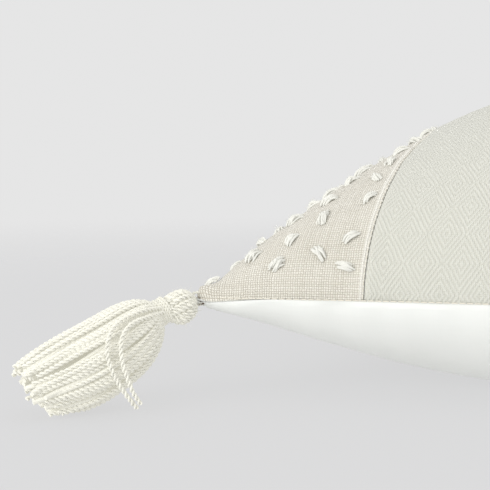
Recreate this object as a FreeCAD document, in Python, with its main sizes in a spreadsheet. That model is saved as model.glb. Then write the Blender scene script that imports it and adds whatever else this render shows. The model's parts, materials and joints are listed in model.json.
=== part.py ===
"""Tasselled throw pillow: a pieced, zipped cover over a stuffed insert, with a yarn tassel at each corner.

Millimetres, +Z up. The pillow lies flat on its plain back. The origin is the middle of the flat patch
that it rests on, +X runs along the near edge, and the two linen end panels are at -X and +X.
"""
import math
import os

import FreeCAD
import Part
import Sketcher

from FreeCAD import Placement, Rotation, Vector

doc = FreeCAD.newDocument("ThrowPillow")

# ---------------------------------------------------------------- driving dimensions
DIMENSIONS = {
    # stuffed cover
    "half_side": 232.0,         # middle of the pillow to a corner, along X or Y
    "side_pull": 30.0,          # how far each side is drawn in between its corners
    "seam_height": 50.0,        # edge seam above the floor
    "crown_rise": 120.0,        # top of the crown above the edge seam
    "belly_drop": 68.0,         # depth the underside would have with no floor under it
    "fullness": 2.4,            # exponent of the dome, higher is boxier
    "cover_wall": 1.2,
    "edge_spare": 0.4,          # extra cloth thickness at the edge seam
    # insert inside the cover
    "insert_inset": 7.2,        # insert seam inside the cover seam
    "insert_gap": 0.6,          # cover to insert at crown and belly
    "insert_wall": 0.8,
    "fill_gap": 0.3,
    # pieced front
    "panel_seam_end": 155.0,    # panel seam from the middle, at the near and far edges
    "panel_seam_bow": 10.0,     # how far the panel seam is drawn in at mid length
    "seam_stitch_width": 0.8,
    "floor_spare": 50.0,        # cutting block past the pillow, all round
    "floor_depth": 100.0,
    "drum_height": 300.0,       # taller than the pillow, for cutting the front into panels
    "tuft_radius": 1.6,
    "tuft_length": 6.5,
    "tuft_clear": 0.02,         # cloth to tuft, which lies on it
    # concealed zip in the far edge
    "zip_half_angle": 11.0,     # degrees of the far edge's arc, each side of its middle
    "slot_spare_angle": 0.3,
    "tape_spare_angle": 0.8,
    "slot_half_height": 1.9,
    "slot_depth": 2.2,
    "slot_proud": 2.0,          # slot's cutter outside the seam
    "tape_near": 3.3,           # depth of the tape's outer face behind the seam
    "tape_wall": 0.5,
    "tape_low": 0.7,
    "tape_high": 11.0,          # front tape's outer edge above the seam
    "tape_back_high": 4.6,      # back tape's below it, where the cover is shallower
    "coil_near": 1.9,
    "coil_low": 0.6,
    "coil_high": 2.2,
    "stop_length": 2.0,
    "slider_length": 8.0,
    "slider_front_half": 1.5,
    "slider_proud": 0.8,        # front plate outside the seam
    "slider_front_depth": 1.6,
    "bridge_half": 0.35,
    "slider_back_near": 4.1,
    "slider_back_depth": 5.0,
    "slider_back_half": 3.0,
    "bail_half_length": 2.7,
    "bail_wall": 0.9,
    "bail_high": 3.8,
    "bail_half_width": 0.8,
    "pull_axis": 1.9,           # pull's crossbar outside the seam
    "pull_bar_radius": 0.6,
    "pull_bar_short": 0.2,      # bar's ends inside the tab's sides
    "pull_half_width": 2.6,
    "pull_arm_inner": 1.2,
    "pull_arm_end": 4.2,
    "pull_length": 19.0,
    "pull_wall": 1.0,
    # blank label in the right-hand seam
    "label_width": 26.0,
    "label_reach": 22.0,
    "label_wall": 0.7,
    "label_clear": 0.3,
    "label_place": 96.0,
    # stitched edge seam
    "edge_thread_radius": 0.4,
    "edge_thread_depth": 2.5,
    "edge_thread_half_angle": 13.6,
    # tassels
    "droop_angle": 26.0,
    "loop_major": 2.0,
    "loop_minor": 0.8,
    "tack_radius": 0.7,
    "tack_length": 5.0,
    "pocket_radius": 3.2,
    "head_radius": 8.8,
    "head_reach": 11.6,
    "wrap_major": 6.9,
    "wrap_minor": 1.5,
    "skirt_start_radius": 5.0,
    "skirt_mid_width": 18.0,
    "skirt_mid_depth": 16.0,
    "skirt_end_width": 15.5,
    "skirt_end_depth": 10.0,
    "skirt_mid_reach": 46.0,
    "skirt_end_reach": 90.0,
    "corner_stitch_radius": 0.45,
    "corner_stitch_height": 2.4,
    "corner_stitch_near": 6.0,  # stitches from the corner, along each side
    "corner_stitch_far": 9.0,
}
sheet = doc.addObject("Spreadsheet::Sheet", "dimensions")
for row, (alias, value) in enumerate(DIMENSIONS.items(), start=1):
    sheet.set(f"A{row}", alias)
    sheet.set(f"B{row}", str(value))
    sheet.setAlias(f"B{row}", alias)
doc.recompute()

GRID = 17                       # interpolation points each way over a dome
TUFT_COLUMNS = 5
TUFT_ROWS = 23
TUFT_MARGIN = 0.35              # bare strip at the side seam, in columns
TUFT_SPAN = 0.94                # share of the panel's length with tufts on it
TUFT_TWIST = 140                # degrees of spread in the way the tufts lie
CORNERS = {1: (-1, -1), 2: (1, -1), 3: (1, 1), 4: (-1, 1)}


def size(alias):
    """The value of one driving dimension."""
    return float(sheet.get(alias))


def bind(thing, **expressions):
    """Tie properties of a document object to cells of the sheet."""
    for name, text in expressions.items():
        thing.setExpression(name, text)
    return thing


def feature(label, shape):
    """A plain document object that holds one computed shape."""
    thing = doc.addObject("Part::Feature", label)
    thing.Label = label
    thing.Shape = shape
    return thing


def boolean(kind, label, base, tool):
    """Part::Cut or Part::Common of two objects."""
    thing = doc.addObject(kind, label)
    thing.Label = label
    thing.Base = base
    thing.Tool = tool
    return thing


def cut(label, base, tool):
    return boolean("Part::Cut", label, base, tool)


def common(label, base, tool):
    return boolean("Part::Common", label, base, tool)


def joined(label, pieces):
    thing = doc.addObject("Part::MultiFuse", label)
    thing.Label = label
    thing.Shapes = pieces
    return thing


def group(label, pieces):
    """Separate solids that share one node."""
    thing = doc.addObject("Part::Compound", label)
    thing.Label = label
    thing.Links = pieces
    return thing


# ---------------------------------------------------------------- the stuffed form
def dome_factor(across, along):
    """0 on the edge seam, 1 in the middle of the pillow."""
    power = size("fullness")
    return math.sqrt(max(0.0, (1 - abs(across) ** power) * (1 - abs(along) ** power)))


def plan_point(across, along, half):
    """Plan position of a point of the cover, with the four sides drawn in."""
    pull = size("side_pull")
    x = across * (half - pull * (1 - along ** 2))
    y = along * (half - pull * (1 - across ** 2))
    return x, y


def dome_solid(inset, height):
    """Half a pillow: a dome over a flat face in the seam's plane. A negative height hangs below."""
    half = size("half_side") - inset
    seam = size("seam_height")
    turns = [math.sin(math.pi / 2 * (2 * step / (GRID - 1) - 1)) for step in range(GRID)]
    rows = []
    for across in turns:
        places = [plan_point(across, along, half) for along in turns]
        rows.append([Vector(x, y, seam + height * dome_factor(across, along))
                     for (x, y), along in zip(places, turns)])
    surface = Part.BSplineSurface()
    surface.interpolate(rows)
    dome = surface.toShape()
    base = Part.Face(Part.Wire(Part.__sortEdges__(dome.Edges)))
    shell = Part.Shell([dome, base])
    shell.sewShape()
    solid = Part.Solid(shell)
    if solid.Volume < 0:
        solid.reverse()
    return solid


def floor_block(label, top):
    """Everything below a level, to flatten the underside where the pillow rests."""
    block = doc.addObject("Part::Box", label)
    wide = "(dimensions.half_side + dimensions.floor_spare) * 2"
    bind(block, Length=wide, Width=wide, Height="dimensions.floor_depth")
    bind(block, **{"Placement.Base.x": "-dimensions.half_side - dimensions.floor_spare",
                   "Placement.Base.y": "-dimensions.half_side - dimensions.floor_spare",
                   "Placement.Base.z": f"{top} - dimensions.floor_depth"})
    return block


wall = size("cover_wall")
insert_out = wall + size("insert_gap")
insert_in = insert_out + size("insert_wall")
fill_out = insert_in + size("fill_gap")
insert_edge = size("insert_inset")
insert_edge_in = insert_edge + size("insert_wall")
fill_edge = insert_edge_in + size("fill_gap")
rise = size("crown_rise")
drop = size("belly_drop")


def top_shell(label, outer_inset, inner_inset, outer_loss, inner_loss):
    outer = feature(label + "_outside", dome_solid(outer_inset, rise - outer_loss))
    inner = feature(label + "_inside", dome_solid(inner_inset, rise - inner_loss))
    return cut(label, outer, inner)


def bottom_shell(label, outer_inset, inner_inset, outer_loss, inner_loss):
    levels = {"outside": (outer_inset, outer_loss), "inside": (inner_inset, inner_loss)}
    halves = []
    for side, (inset, loss) in levels.items():
        belly = feature(f"{label}_{side}_belly", dome_solid(inset, -(drop - loss)))
        floor = floor_block(f"{label}_{side}_floor", f"{loss}")
        halves.append(cut(f"{label}_{side}", belly, floor))
    return cut(label, *halves)


# ---------------------------------------------------------------- the far edge's arc, which carries the zip
half_side = size("half_side")
side_pull = size("side_pull")
seam_height = size("seam_height")
EDGE_RADIUS = (half_side ** 2 + side_pull ** 2) / (2 * side_pull)
ARC_CENTRE = half_side - side_pull + EDGE_RADIUS    # each side's arc is struck from outside the pillow
RADIUS_TEXT = "((dimensions.half_side ^ 2 + dimensions.side_pull ^ 2) / (2 * dimensions.side_pull))"


def arc_band(label, near, far, low, high, half_angle, side_turn=0.0):
    """A band that follows a side's arc. Depths are behind the seam, heights are from the seam."""
    rims = []
    for name, depth in (("rim", far), ("bore", near)):
        drum = doc.addObject("Part::Cylinder", f"{label}_{name}")
        bind(drum, Radius=f"{RADIUS_TEXT} + {depth}", Height=f"{high} - ({low})", Angle=f"2 * {half_angle}")
        turn = Rotation(Vector(0, 0, 1), side_turn)
        doc.recompute()
        start = Rotation(Vector(0, 0, 1), side_turn - 90 - drum.Angle.Value / 2)
        drum.Placement = Placement(turn.multVec(Vector(0, ARC_CENTRE, 0)), start)
        bind(drum, **{"Placement.Base.z": f"dimensions.seam_height + ({low})"})
        rims.append(drum)
    return cut(label, *rims)


def on_far_edge(angle, outward=0.0):
    """A frame on the far edge: X along the seam, Y outwards, at an angle from the edge's middle."""
    turn = Rotation(Vector(0, 0, 1), angle)
    base = Vector(0, ARC_CENTRE, 0) + turn.multVec(Vector(0, -EDGE_RADIUS + outward, 0))
    base.z = seam_height
    return Placement(base, turn)


# ---------------------------------------------------------------- sketches for the zip's metal
def plane_of(body, role):
    return next(item for item in body.Origin.OriginFeatures if item.Role == role)


def profile(body, name, points, role, offset=0.0):
    """A closed sketch of straight edges on one of the body's own planes."""
    sketch = body.newObject("Sketcher::SketchObject", name)
    sketch.AttachmentSupport = [(plane_of(body, role), "")]
    sketch.MapMode = "FlatFace"
    sketch.AttachmentOffset = Placement(Vector(0, 0, offset), Rotation())
    count = len(points)
    for index, (start, end) in enumerate(zip(points, points[1:] + points[:1])):
        sketch.addGeometry(Part.LineSegment(Vector(*start, 0), Vector(*end, 0)), False)
        if index:
            sketch.addConstraint(Sketcher.Constraint("Coincident", index - 1, 2, index, 1))
    sketch.addConstraint(Sketcher.Constraint("Coincident", count - 1, 2, 0, 1))
    return sketch


def pad(body, name, sketch, length):
    """A symmetric pad, its length bound to the sheet."""
    solid = body.newObject("PartDesign::Pad", name)
    solid.Profile = sketch
    solid.Midplane = True
    bind(solid, Length=length)
    return solid


def zip_slider():
    """Front plate, bridge and back plate in one H section, with an arched bail on the front."""
    body = doc.addObject("PartDesign::Body", "zip_slider")
    front, proud, depth = size("slider_front_half"), size("slider_proud"), size("slider_front_depth")
    bridge, back = size("bridge_half"), size("slider_back_half")
    near, far = size("slider_back_near"), size("slider_back_depth")
    half_section = [(proud, front), (-depth, front), (-depth, bridge),
                    (-near, bridge), (-near, back), (-far, back)]
    section = half_section + [(out, -up) for out, up in reversed(half_section)]
    plates = profile(body, "slider_section", section, "YZ_Plane")
    pad(body, "slider_plates", plates, "dimensions.slider_length")
    reach, thick, high = size("bail_half_length"), size("bail_wall"), size("bail_high")
    arch = [(-reach, proud), (-reach, high), (reach, high), (reach, proud),
            (reach - thick, proud), (reach - thick, high - thick),
            (thick - reach, high - thick), (thick - reach, proud)]
    bail = profile(body, "bail_outline", arch, "XY_Plane")
    pad(body, "bail", bail, "dimensions.bail_half_width * 2")
    return body


def zip_pull():
    """Flat tab with two arms to a round crossbar that lies under the slider's bail."""
    body = doc.addObject("PartDesign::Body", "zip_pull")
    wide, inner = size("pull_half_width"), size("pull_arm_inner")
    arm_end, length, bar = size("pull_arm_end"), size("pull_length"), size("pull_bar_radius")
    outline = [(bar, wide), (-length + wide, wide), (-length, wide / 2), (-length, -wide / 2),
               (-length + wide, -wide), (bar, -wide), (bar, -inner), (-arm_end, -inner),
               (-arm_end, inner), (bar, inner)]
    frame = profile(body, "pull_outline", outline, "XZ_Plane")
    pad(body, "pull_frame", frame, "dimensions.pull_wall")
    crossbar = body.newObject("PartDesign::AdditiveCylinder", "pull_crossbar")
    bind(crossbar, Radius="dimensions.pull_bar_radius",
         Height="(dimensions.pull_half_width - dimensions.pull_bar_short) * 2")
    crossbar.AttachmentSupport = [(plane_of(body, "XY_Plane"), "")]
    crossbar.MapMode = "FlatFace"
    crossbar.AttachmentOffset = Placement(Vector(0, 0, size("pull_bar_short") - wide), Rotation())
    return body


# ---------------------------------------------------------------- tassels
def corner_point(signs):
    return Vector(signs[0] * half_side, signs[1] * half_side, seam_height)


def tassel_turn(signs):
    """Local X runs out along the corner's diagonal and down by the droop, local Y stays level."""
    heading = math.degrees(math.atan2(signs[1], signs[0]))
    return Rotation(Vector(0, 0, 1), heading) * Rotation(Vector(0, 1, 0), size("droop_angle"))


def tassel(number, signs):
    """Thread bar, loop, head, neck wrap and skirt of one tassel, each a node of its own."""
    name = f"tassel_{number}"
    corner = corner_point(signs)
    turn = tassel_turn(signs)
    axis = turn.multVec(Vector(1, 0, 0))
    level = turn.multVec(Vector(0, 1, 0))
    upward = turn.multVec(Vector(0, 0, 1))
    across = Rotation(upward, axis, level, "ZXY")       # Z along the level direction
    endwise = Rotation(level, upward, axis, "ZXY")      # Z along the tassel

    bar = doc.addObject("Part::Cylinder", name + "_thread_bar")
    bind(bar, Radius="dimensions.tack_radius", Height="dimensions.tack_length")
    bar.Placement = Placement(corner - level * (size("tack_length") / 2), across)

    loop = doc.addObject("Part::Torus", name + "_loop")
    bind(loop, Radius1="dimensions.loop_major", Radius2="dimensions.loop_minor")
    loop.Placement = Placement(corner, across)

    head = doc.addObject("Part::Sphere", name + "_head")
    bind(head, Radius="dimensions.head_radius")
    head.Placement = Placement(corner + axis * size("head_reach"), endwise)

    neck = size("head_reach") + size("head_radius")
    wrap = doc.addObject("Part::Torus", name + "_neck_wrap")
    bind(wrap, Radius1="dimensions.wrap_major", Radius2="dimensions.wrap_minor")
    wrap.Placement = Placement(corner + axis * neck, endwise)

    top = doc.addObject("Part::Circle", name + "_skirt_top")
    bind(top, Radius="dimensions.skirt_start_radius")
    sections = [top]
    for place in ("mid", "end"):
        ring = doc.addObject("Part::Ellipse", f"{name}_skirt_{place}")
        bind(ring, MajorRadius=f"dimensions.skirt_{place}_width",
             MinorRadius=f"dimensions.skirt_{place}_depth")
        sections.append(ring)
    for ring, reach in zip(sections, (neck, size("skirt_mid_reach"), size("skirt_end_reach"))):
        ring.Placement = Placement(corner + axis * reach, endwise)
    skirt = doc.addObject("Part::Loft", name + "_skirt")
    skirt.Sections = sections
    skirt.Solid = True

    stitches = []
    for index in range(4):
        along_x = index < 2
        back = size("corner_stitch_far" if index % 2 else "corner_stitch_near")
        stitch = doc.addObject("Part::Cylinder", f"{name}_stitch_{index}")
        bind(stitch, Radius="dimensions.corner_stitch_radius", Height="dimensions.corner_stitch_height")
        share = 1 - back / half_side
        stand = half_side - side_pull * (1 - share ** 2) + size("corner_stitch_radius")
        x, y = (share * half_side, stand) if along_x else (stand, share * half_side)
        low = seam_height - size("corner_stitch_height") / 2
        stitch.Placement = Placement(Vector(signs[0] * x, signs[1] * y, low), Rotation())
        stitches.append(stitch)
    corner_stitches = group(f"corner_stitches_{number}", stitches)
    return [bar, loop, head, wrap, skirt, corner_stitches]


# ---------------------------------------------------------------- tufts on the linen panels
def surface_point(across, along):
    x, y = plan_point(across, along, half_side)
    return Vector(x, y, seam_height + rise * dome_factor(across, along))


def tuft(label, across, along, twist):
    """A short thick yarn end lying on the cloth."""
    step = 0.002
    spot = surface_point(across, along)
    along_x = surface_point(across + step, along) - surface_point(across - step, along)
    along_y = surface_point(across, along + step) - surface_point(across, along - step)
    normal = along_x.cross(along_y).normalize()
    lie = Rotation(normal, twist).multVec(along_y.normalize())
    piece = doc.addObject("Part::Cylinder", label)
    bind(piece, Radius="dimensions.tuft_radius", Height="dimensions.tuft_length")
    lift = size("tuft_radius") + size("tuft_clear")
    base = spot + normal * lift - lie * (size("tuft_length") / 2)
    piece.Placement = Placement(base, Rotation(Vector(0, 0, 1), lie))
    return piece


def panel_tufts(label, side):
    """Staggered rows of tufts over one linen end panel."""
    seam_share = size("panel_seam_end") / half_side
    pieces = []
    for column in range(TUFT_COLUMNS):
        across = seam_share + (1 - seam_share) * (column + 0.5) / (TUFT_COLUMNS + TUFT_MARGIN)
        for row in range(TUFT_ROWS):
            stagger = 0.5 * (column % 2)
            along = TUFT_SPAN * (2 * (row + 0.25 + stagger) / TUFT_ROWS - 1)
            twist = TUFT_TWIST * ((row * 7 + column * 11) % 10) / 10
            pieces.append(tuft(f"{label}_{column}_{row}", side * across, along, twist))
    return group(label, pieces)


# ---------------------------------------------------------------- build
def seam_drum(label, side, extra):
    """A huge drum whose wall is a panel seam, bowed towards the middle of the pillow."""
    end = "dimensions.panel_seam_end"
    bow = "dimensions.panel_seam_bow"
    radius = f"((dimensions.half_side ^ 2 + {bow} ^ 2) / (2 * {bow}))"
    drum = doc.addObject("Part::Cylinder", label)
    bind(drum, Radius=f"{radius} + {extra}", Height="dimensions.drum_height")
    sign = "" if side > 0 else "-"
    bind(drum, **{"Placement.Base.x": f"{sign}({end} - {bow} + {radius})"})
    return drum


def build_cover():
    inner_edge = wall + size("edge_spare")
    front = top_shell("front_shell", 0.0, inner_edge, 0.0, wall)
    back = bottom_shell("back_shell", 0.0, inner_edge, 0.0, wall)
    slot_angle = "(dimensions.zip_half_angle + dimensions.slot_spare_angle)"
    slot = arc_band("zip_slot", "(-dimensions.slot_proud)", "dimensions.slot_depth",
                    "-dimensions.slot_half_height", "dimensions.slot_half_height", slot_angle)
    pockets = []
    for number, signs in CORNERS.items():
        pocket = doc.addObject("Part::Sphere", f"loop_pocket_{number}")
        bind(pocket, Radius="dimensions.pocket_radius")
        pocket.Placement = Placement(corner_point(signs), Rotation())
        pockets.append(pocket)
    openings = joined("cover_openings", pockets + [slot])
    front_open = cut("front_open", front, openings)
    nodes = [cut("back_panel", back, openings)]
    rest = front_open
    for name, side in (("left", -1), ("right", 1)):
        drum = seam_drum(f"{name}_zone", side, "0")
        wider = seam_drum(f"{name}_zone_wide", side, "dimensions.seam_stitch_width")
        band = cut(f"{name}_seam_band", wider, drum)
        nodes.append(common(f"front_{name}_panel", front_open, drum))
        nodes.append(common(f"{name}_panel_seam_thread", front_open, band))
        rest = cut("front_centre_panel" if side > 0 else "front_less_left", rest, wider)
    nodes.append(rest)
    return nodes


def build_insert():
    top = top_shell("insert_cover_top", insert_edge, insert_edge_in, insert_out, insert_in)
    bottom = bottom_shell("insert_cover_bottom", insert_edge, insert_edge_in, insert_out, insert_in)
    fill_top = feature("fill_top", dome_solid(fill_edge, rise - fill_out))
    fill_belly = feature("fill_belly", dome_solid(fill_edge, fill_out - drop))
    fill_bottom = cut("fill_bottom", fill_belly, floor_block("fill_floor", f"{fill_out}"))
    return [top, bottom, joined("insert_fill", [fill_top, fill_bottom])]


def build_edge_thread():
    """Running stitch just inside the edge seam, along the three closed sides."""
    bands = []
    for name, side_turn in (("left", 90.0), ("right", -90.0), ("near", 180.0)):
        radius = "dimensions.edge_thread_radius"
        depth = "dimensions.edge_thread_depth"
        bands.append(arc_band(f"edge_thread_{name}", f"{depth} - {radius}", f"{depth} + {radius}",
                              f"(-{radius})", radius, "dimensions.edge_thread_half_angle", side_turn))
    return group("edge_seam_thread", bands)


def build_zip():
    nodes = []
    tape_angle = "(dimensions.zip_half_angle + dimensions.tape_spare_angle)"
    for name, sign in (("front", 1), ("back", -1)):
        edges = {}
        for piece in ("tape", "coil"):
            low, high = f"dimensions.{piece}_low", f"dimensions.{piece}_high"
            if piece == "tape" and sign < 0:
                high = "dimensions.tape_back_high"
            edges[piece] = (low, high) if sign > 0 else (f"(-{high})", f"(-{low})")
        nodes.append(arc_band(f"zip_tape_{name}", "dimensions.tape_near",
                              "(dimensions.tape_near + dimensions.tape_wall)", *edges["tape"], tape_angle))
        nodes.append(arc_band(f"zip_coil_{name}", "dimensions.coil_near", "dimensions.tape_near",
                              *edges["coil"], "dimensions.zip_half_angle"))
    zip_angle = size("zip_half_angle")
    stop_angle = math.degrees(size("stop_length") / EDGE_RADIUS)
    for name, sign in (("top", 1), ("bottom", -1)):
        stop = doc.addObject("Part::Box", f"zip_{name}_stop")
        bind(stop, Length="dimensions.stop_length", Width="dimensions.tape_near - dimensions.coil_near",
             Height="dimensions.coil_high * 2")
        place = on_far_edge(sign * (zip_angle + stop_angle * 0.55), -size("tape_near"))
        corner = Vector(-size("stop_length") / 2, 0, -size("coil_high"))
        stop.Placement = Placement(place.multVec(corner), place.Rotation)
        nodes.append(stop)
    rest_angle = zip_angle - math.degrees(size("slider_length") / 2 / EDGE_RADIUS)
    slider = zip_slider()
    slider.Placement = on_far_edge(rest_angle)
    pull = zip_pull()
    pull.Placement = on_far_edge(rest_angle, size("pull_axis"))
    return nodes + [slider, pull]


def build_label():
    """Blank folded label caught in the right-hand seam."""
    label = doc.addObject("Part::Box", "care_label")
    bind(label, Length="dimensions.label_reach", Width="dimensions.label_width",
         Height="dimensions.label_wall")
    share = (size("label_place") + size("label_width")) / half_side
    edge = half_side - side_pull * (1 - share ** 2)
    low = seam_height - size("label_wall") / 2
    label.Placement = Placement(Vector(edge + size("label_clear"), size("label_place"), low), Rotation())
    return label


nodes = build_cover() + build_insert() + build_zip()
nodes += [build_edge_thread(), build_label()]
nodes += [panel_tufts("left_panel_tufts", -1), panel_tufts("right_panel_tufts", 1)]
for number, signs in CORNERS.items():
    nodes += tassel(number, signs)
doc.recompute()

# ---------------------------------------------------------------- check and write
for thing in doc.Objects:
    if {"Invalid", "Error"} & set(thing.State):
        raise RuntimeError(f"{thing.Label} failed: {thing.State}")
os.makedirs("parts", exist_ok=True)
for node in nodes:
    shape = node.Shape
    if shape.isNull() or not shape.isValid() or shape.Volume <= 0 or not shape.Solids:
        raise RuntimeError(f"{node.Label} has no sound solid")
    shape.exportStep(os.path.join("parts", node.Label + ".step"))
    print(f"{node.Label:28s} {len(shape.Solids):4d} solids {shape.Volume:14.2f} mm3")
print(len(nodes), "nodes")
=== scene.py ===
"""Tasselled throw pillow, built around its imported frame. Metres, +Z up, in the frame's own axes."""
import json
import math

import bmesh
import bpy
import numpy as np
from mathutils import Matrix, Vector, noise


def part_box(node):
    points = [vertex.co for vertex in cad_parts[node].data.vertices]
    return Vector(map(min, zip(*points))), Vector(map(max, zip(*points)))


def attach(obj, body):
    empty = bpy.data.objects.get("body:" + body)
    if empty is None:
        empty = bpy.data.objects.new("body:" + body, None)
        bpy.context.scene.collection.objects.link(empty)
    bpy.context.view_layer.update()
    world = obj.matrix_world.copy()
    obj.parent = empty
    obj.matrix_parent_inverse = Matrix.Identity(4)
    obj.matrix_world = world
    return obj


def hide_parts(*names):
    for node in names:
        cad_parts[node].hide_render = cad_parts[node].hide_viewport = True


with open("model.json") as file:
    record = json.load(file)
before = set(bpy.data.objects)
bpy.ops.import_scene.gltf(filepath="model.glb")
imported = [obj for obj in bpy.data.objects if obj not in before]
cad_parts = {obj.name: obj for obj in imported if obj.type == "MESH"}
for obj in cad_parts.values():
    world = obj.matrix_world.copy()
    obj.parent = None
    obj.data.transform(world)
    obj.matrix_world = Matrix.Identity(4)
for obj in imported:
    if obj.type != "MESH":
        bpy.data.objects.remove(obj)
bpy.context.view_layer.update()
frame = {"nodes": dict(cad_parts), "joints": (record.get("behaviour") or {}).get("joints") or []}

MM = 0.001
JOINTS = {joint["name"]: joint for joint in frame["joints"]}
CORNERS = {number: Vector(JOINTS[f"tassel_{number}_sway"]["pos_m"]) for number in (1, 2, 3, 4)}

# ---------------------------------------------------------------- sizes taken from the frame
HALF = CORNERS[3].x                                     # middle of the pillow to a corner
SEAM_HEIGHT = CORNERS[3].z
CROWN_SINK = 2 * MM                                     # the stuffed crown lies this far under the CAD one
CROWN_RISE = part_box("front_centre_panel")[1].z - SEAM_HEIGHT - CROWN_SINK
ARC_REACH = JOINTS["zip_slide"]["pos_m"][1] - HALF      # each side's arc is struck from outside
SIDE_PULL = math.hypot(ARC_REACH, HALF) - ARC_REACH
ARC_RADIUS = (HALF ** 2 + SIDE_PULL ** 2) / (2 * SIDE_PULL)
BELLY_DROP = 68 * MM                                    # how deep the back would hang without a floor
FULLNESS = 2.3                                          # power of the dome: a higher one is boxier
FLAT_HALF = 250 * MM                                    # half of the cover's side before stuffing
PANEL_SEAM_END = 154 * MM                               # panel seam from the middle, at the near edge
PANEL_SEAM_BOW = 11 * MM                                # how far it is drawn in at mid length
CLOTH = 0.8 * MM                                        # thickness of the cover
BLUNT_START = 1.0 * MM                                  # corner tips are pressed back from here
BLUNT_SHARE = 0.6
CORNER_FULLNESS = 7.0                                   # extra thickness of the folded corner
CORNER_FULL_REACH = 3.2 * MM
CORNER_DROOP = 2.5 * MM
CORNER_DROOP_REACH = 20 * MM
CORNER_LEAN = 0.5                                       # the blunt end leans out over the tip
CORNER_LEAN_REACH = 8 * MM
TUFT_COLUMNS = 5
TUFT_ROWS = 23
TUFT_STRANDS = 11
FIBRE_FLOOR = 0.1 * MM                                  # loose fibres rest on the floor


# ---------------------------------------------------------------- small helpers
def linked(name, data):
    """A new object in the scene."""
    thing = bpy.data.objects.new(name, data)
    bpy.context.scene.collection.objects.link(thing)
    return thing


def mesh_object(name, points, faces, material=None, smooth=True):
    mesh = bpy.data.meshes.new(name)
    mesh.from_pydata([tuple(p) for p in points], [], [tuple(f) for f in faces])
    if material:
        mesh.materials.append(material)
    mesh.polygons.foreach_set("use_smooth", [smooth] * len(mesh.polygons))
    mesh.update()
    return linked(name, mesh)


def vertex_places(mesh):
    spots = np.zeros(len(mesh.vertices) * 3)
    mesh.vertices.foreach_get("co", spots)
    return spots.reshape(-1, 3)


def add_cloth_axes(thing, flat):
    """Stores flat cloth coordinates, one pair for each vertex, as the UV layer that the cloths read."""
    layer = thing.data.uv_layers.new(name="cloth")
    corners = np.zeros(len(thing.data.loops), int)
    thing.data.loops.foreach_get("vertex_index", corners)
    layer.data.foreach_set("uv", flat[corners].ravel())


def grid_quads(index):
    """Faces over a grid of vertex numbers."""
    return np.stack([index[:-1, :-1], index[1:, :-1], index[1:, 1:], index[:-1, 1:]], -1).reshape(-1, 4)


def place(piece, body, slot, *nodes):
    """Ride on a body and stand for CAD nodes, which are hidden."""
    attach(piece, body)
    if nodes:
        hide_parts(*nodes)
    return piece


def curve_object(name, strands, radii=None):
    """Poly curves, one per strand of points, with an optional list of radii for each."""
    data = bpy.data.curves.new(name, "CURVE")
    data.dimensions = "3D"
    for index, strand in enumerate(strands):
        spline = data.splines.new("POLY")
        spline.points.add(len(strand) - 1)
        spline.points.foreach_set("co", np.column_stack([strand, np.ones(len(strand))]).ravel())
        spline.points.foreach_set("radius", np.ones(len(strand)) if radii is None else radii[index])
    return linked(name, data)


# ---------------------------------------------------------------- node trees for what repeats
class Nodes:
    """A short way to wire nodes in self.tree."""

    def add(self, kind, _settings=None, **values):
        """A node. A value is a number or another node's socket, and its key is the socket's name or index."""
        node = self.tree.nodes.new(kind)
        for key, value in (_settings or {}).items():
            setattr(node, key, value)
        for key, value in values.items():
            if key.startswith("i") and key[1:].isdigit():
                socket = node.inputs[int(key[1:])]
            else:
                socket = node.inputs[key.replace("_", " ")]
            if isinstance(value, bpy.types.NodeSocket):
                self.tree.links.new(value, socket)
            else:
                socket.default_value = value
        return node

    def maths(self, operation, *values):
        terms = {f"i{index}": value for index, value in enumerate(values)}
        return self.add("ShaderNodeMath", {"operation": operation}, **terms).outputs[0]

    def times(self, first, second):
        return self.maths("MULTIPLY", first, second)

    def plus(self, first, second):
        return self.maths("ADD", first, second)


class Tree(Nodes):
    """A Geometry Nodes tree with named inputs."""

    def __init__(self, name, **inputs):
        self.tree = bpy.data.node_groups.new(name, "GeometryNodeTree")
        face = self.tree.interface
        face.new_socket("Geometry", in_out="INPUT", socket_type="NodeSocketGeometry")
        face.new_socket("Geometry", in_out="OUTPUT", socket_type="NodeSocketGeometry")
        kinds = {float: "NodeSocketFloat", int: "NodeSocketInt", bpy.types.Material: "NodeSocketMaterial"}
        self.sockets = {}
        for key, kind in inputs.items():
            label = key.replace("_", " ")
            self.sockets[key] = face.new_socket(label, in_out="INPUT", socket_type=kinds[kind]).identifier
        self.start = self.tree.nodes.new("NodeGroupInput")
        self.end = self.tree.nodes.new("NodeGroupOutput")

    def given(self, key):
        return next(s for s in self.start.outputs if s.identifier == self.sockets[key])

    def vector(self, **parts):
        return self.add("ShaderNodeCombineXYZ", **parts).outputs[0]

    def evenly(self, step):
        """The curves that come in, with points at an even step."""
        return self.add("GeometryNodeResampleCurve", {"mode": "LENGTH"}, Curve=self.start.outputs[0],
                        Length=step).outputs[0]

    def rod(self, line, radius, sides):
        """A round rod along a line."""
        section = self.add("GeometryNodeCurvePrimitiveCircle", Resolution=sides, Radius=radius)
        return self.add("GeometryNodeCurveToMesh", Curve=line, Profile_Curve=section.outputs[0],
                        Fill_Caps=True).outputs[0]

    def close(self, geometry, material):
        """Realize Instances and Set Material, then the output."""
        whole = self.add("GeometryNodeRealizeInstances", Geometry=geometry).outputs[0]
        smooth = self.add("GeometryNodeSetShadeSmooth", Geometry=whole).outputs[0]
        done = self.add("GeometryNodeSetMaterial", Geometry=smooth, Material=material).outputs[0]
        self.tree.links.new(done, self.end.inputs[0])
        return self


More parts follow.
